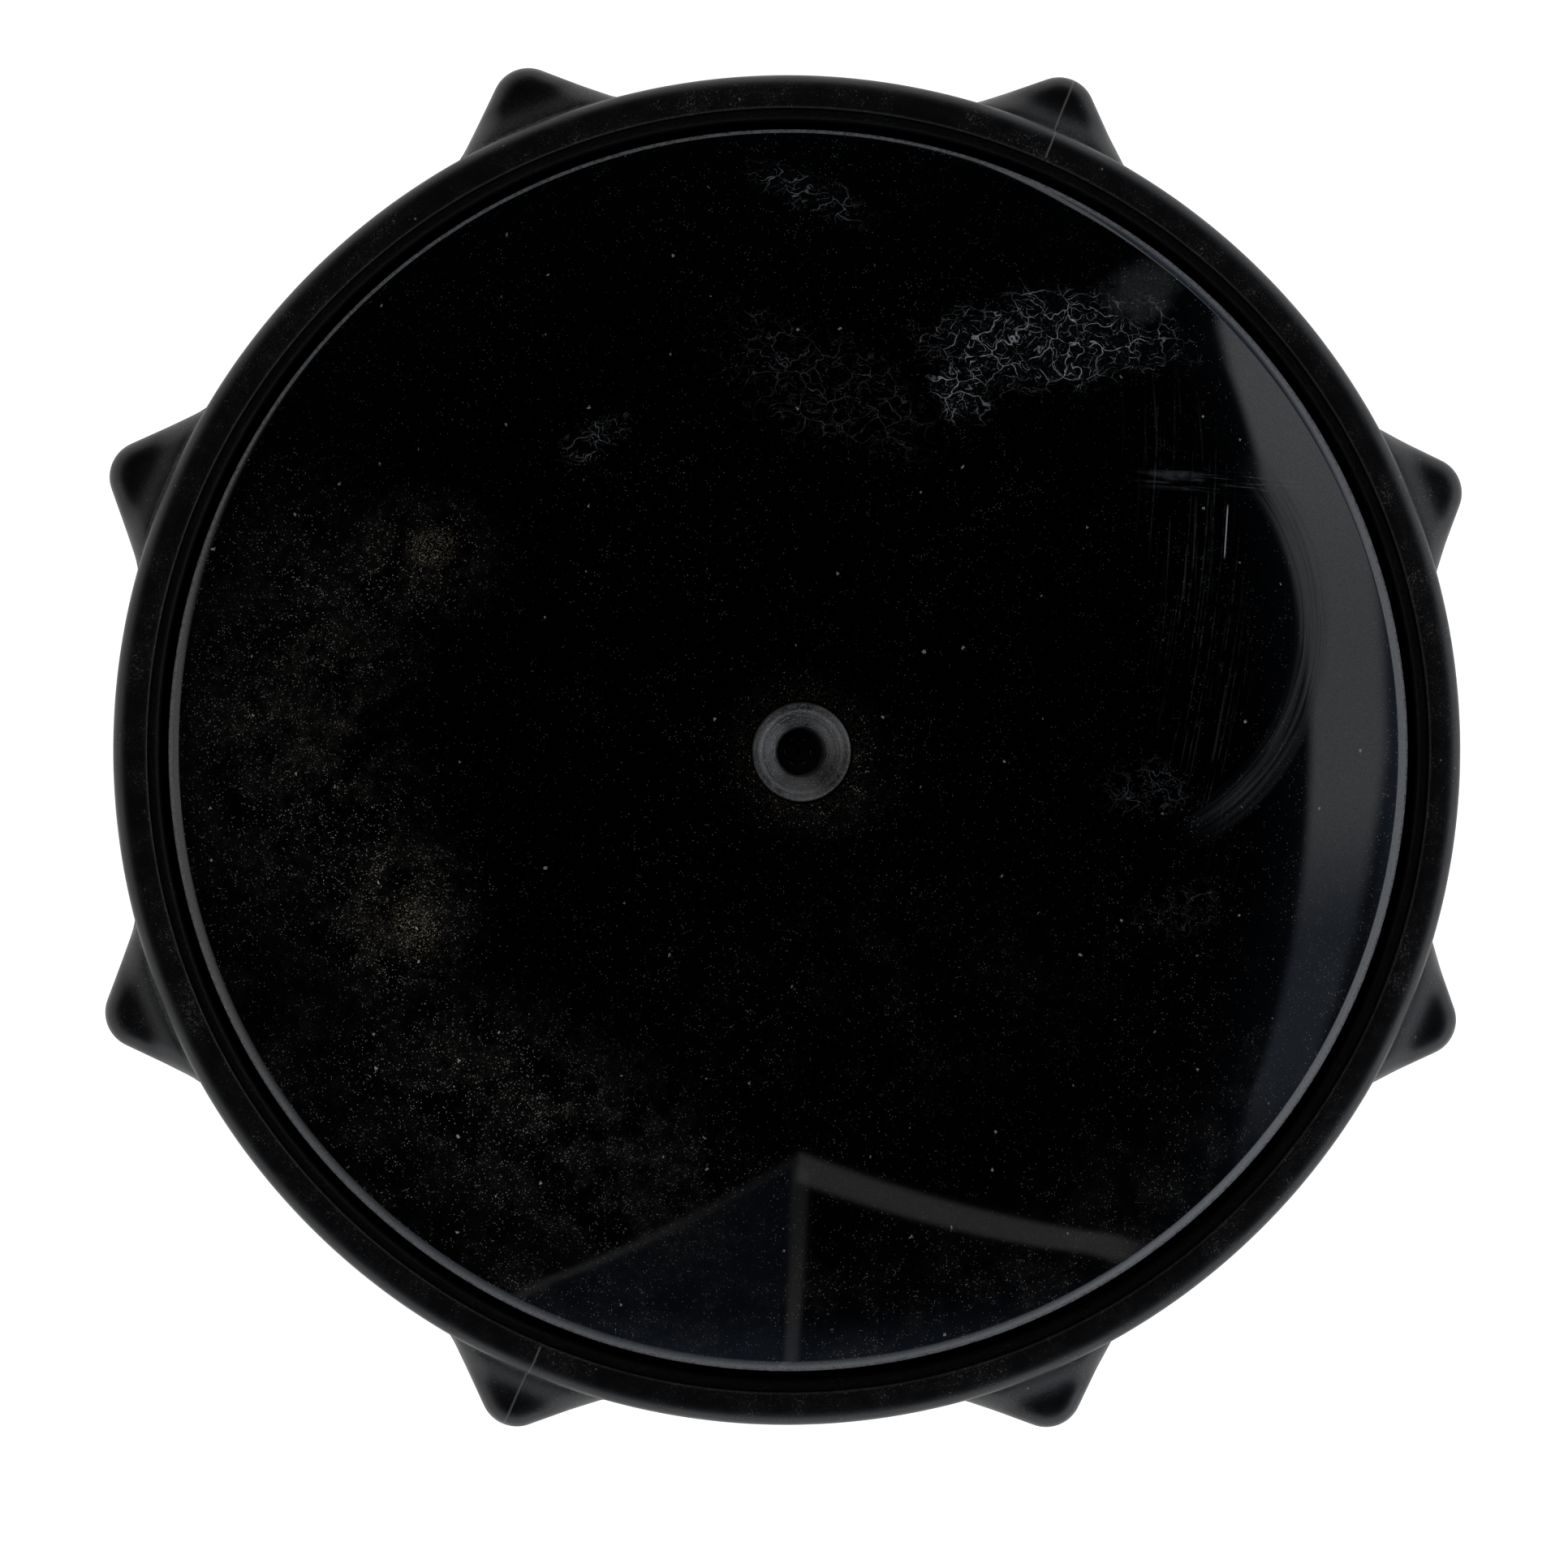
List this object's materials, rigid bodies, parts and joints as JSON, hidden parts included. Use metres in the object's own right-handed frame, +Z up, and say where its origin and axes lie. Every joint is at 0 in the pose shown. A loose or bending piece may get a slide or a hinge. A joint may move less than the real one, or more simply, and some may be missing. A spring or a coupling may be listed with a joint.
{
  "type": "rotary surface cleaner",
  "caption": "Round rotary surface cleaner head for a pressure washer: glossy domed deck with a central inlet port, lugged rubber bumper, bristle skirt and a spinning spray bar.",
  "frame": {"origin": "on the floor, at the centre of the circle of lug feet that the cleaner stands on", "axes": "+Z up along the axis that the spray bar turns about; +X along the spray bar at rest, midway between two of the boot's lugs"},
  "size_m": [0.336, 0.336, 0.1039],
  "materials": {
    "rubber": "matte moulded black rubber with pale dust",
    "gloss_plastic": "high gloss black, dusty",
    "matte_plastic": "matte black",
    "port_metal": "turned, dark anodised, satin",
    "brass": "machined",
    "steel": "stainless, turned",
    "zinc_steel": "zinc plated",
    "seal_rubber": "smooth black",
    "white_plastic": "waxy white",
    "bristle": "black nylon bristles"
  },
  "bodies": {
    "housing": {"bumper_boot": "rubber", "chassis_ring": "matte_plastic", "deck_dome": "gloss_plastic", "brush_channel": "zinc_steel", "bristle_ring": "bristle", "inlet_port": "port_metal", "inlet_strainer": "steel", "port_o_ring": "seal_rubber", "swivel_body": "brass", "high_pressure_seal": "white_plastic", "upper_outer_race": "steel", "outer_spacer": "zinc_steel", "lower_outer_race": "steel", "body_circlip": "steel", "dust_seal": "seal_rubber", "deck_screw_1": "zinc_steel", "deck_screw_2": "zinc_steel", "deck_screw_3": "zinc_steel", "deck_screw_4": "zinc_steel", "deck_screw_5": "zinc_steel", "deck_screw_6": "zinc_steel", "deck_screw_7": "zinc_steel", "deck_screw_8": "zinc_steel", "flange_bolt_1": "zinc_steel", "flange_bolt_2": "zinc_steel", "flange_bolt_3": "zinc_steel", "flange_bolt_4": "zinc_steel"},
    "rotor": {"rotor_shaft": "steel", "shaft_circlip": "steel", "upper_inner_race": "steel", "inner_spacer": "zinc_steel", "lower_inner_race": "steel", "rotor_hub": "brass", "hub_plug": "zinc_steel", "spray_arm_right": "steel", "jam_nut_right": "zinc_steel", "nozzle_block_right": "brass", "spray_nozzle_right": "steel", "spray_arm_left": "steel", "jam_nut_left": "zinc_steel", "nozzle_block_left": "brass", "spray_nozzle_left": "steel"},
    "upper_cage": {"upper_ball_cage": "steel"},
    "lower_cage": {"lower_ball_cage": "steel"}
  },
  "joints": [
    {"name": "rotor_spin", "type": "hinge", "parent": "housing", "child": "rotor", "pos_m": [0, 0, 0.033], "axis": [0, 0, 1], "continuous": true},
    {"name": "upper_cage_spin", "type": "hinge", "parent": "housing", "child": "upper_cage", "pos_m": [0, 0, 0.0678], "axis": [0, 0, 1], "continuous": true},
    {"name": "lower_cage_spin", "type": "hinge", "parent": "housing", "child": "lower_cage", "pos_m": [0, 0, 0.0556], "axis": [0, 0, 1], "continuous": true}
  ],
  "couplings": [
    {"joint": "upper_cage_spin", "follows": "rotor_spin", "ratio": 0.391},
    {"joint": "lower_cage_spin", "follows": "rotor_spin", "ratio": 0.391}
  ]
}
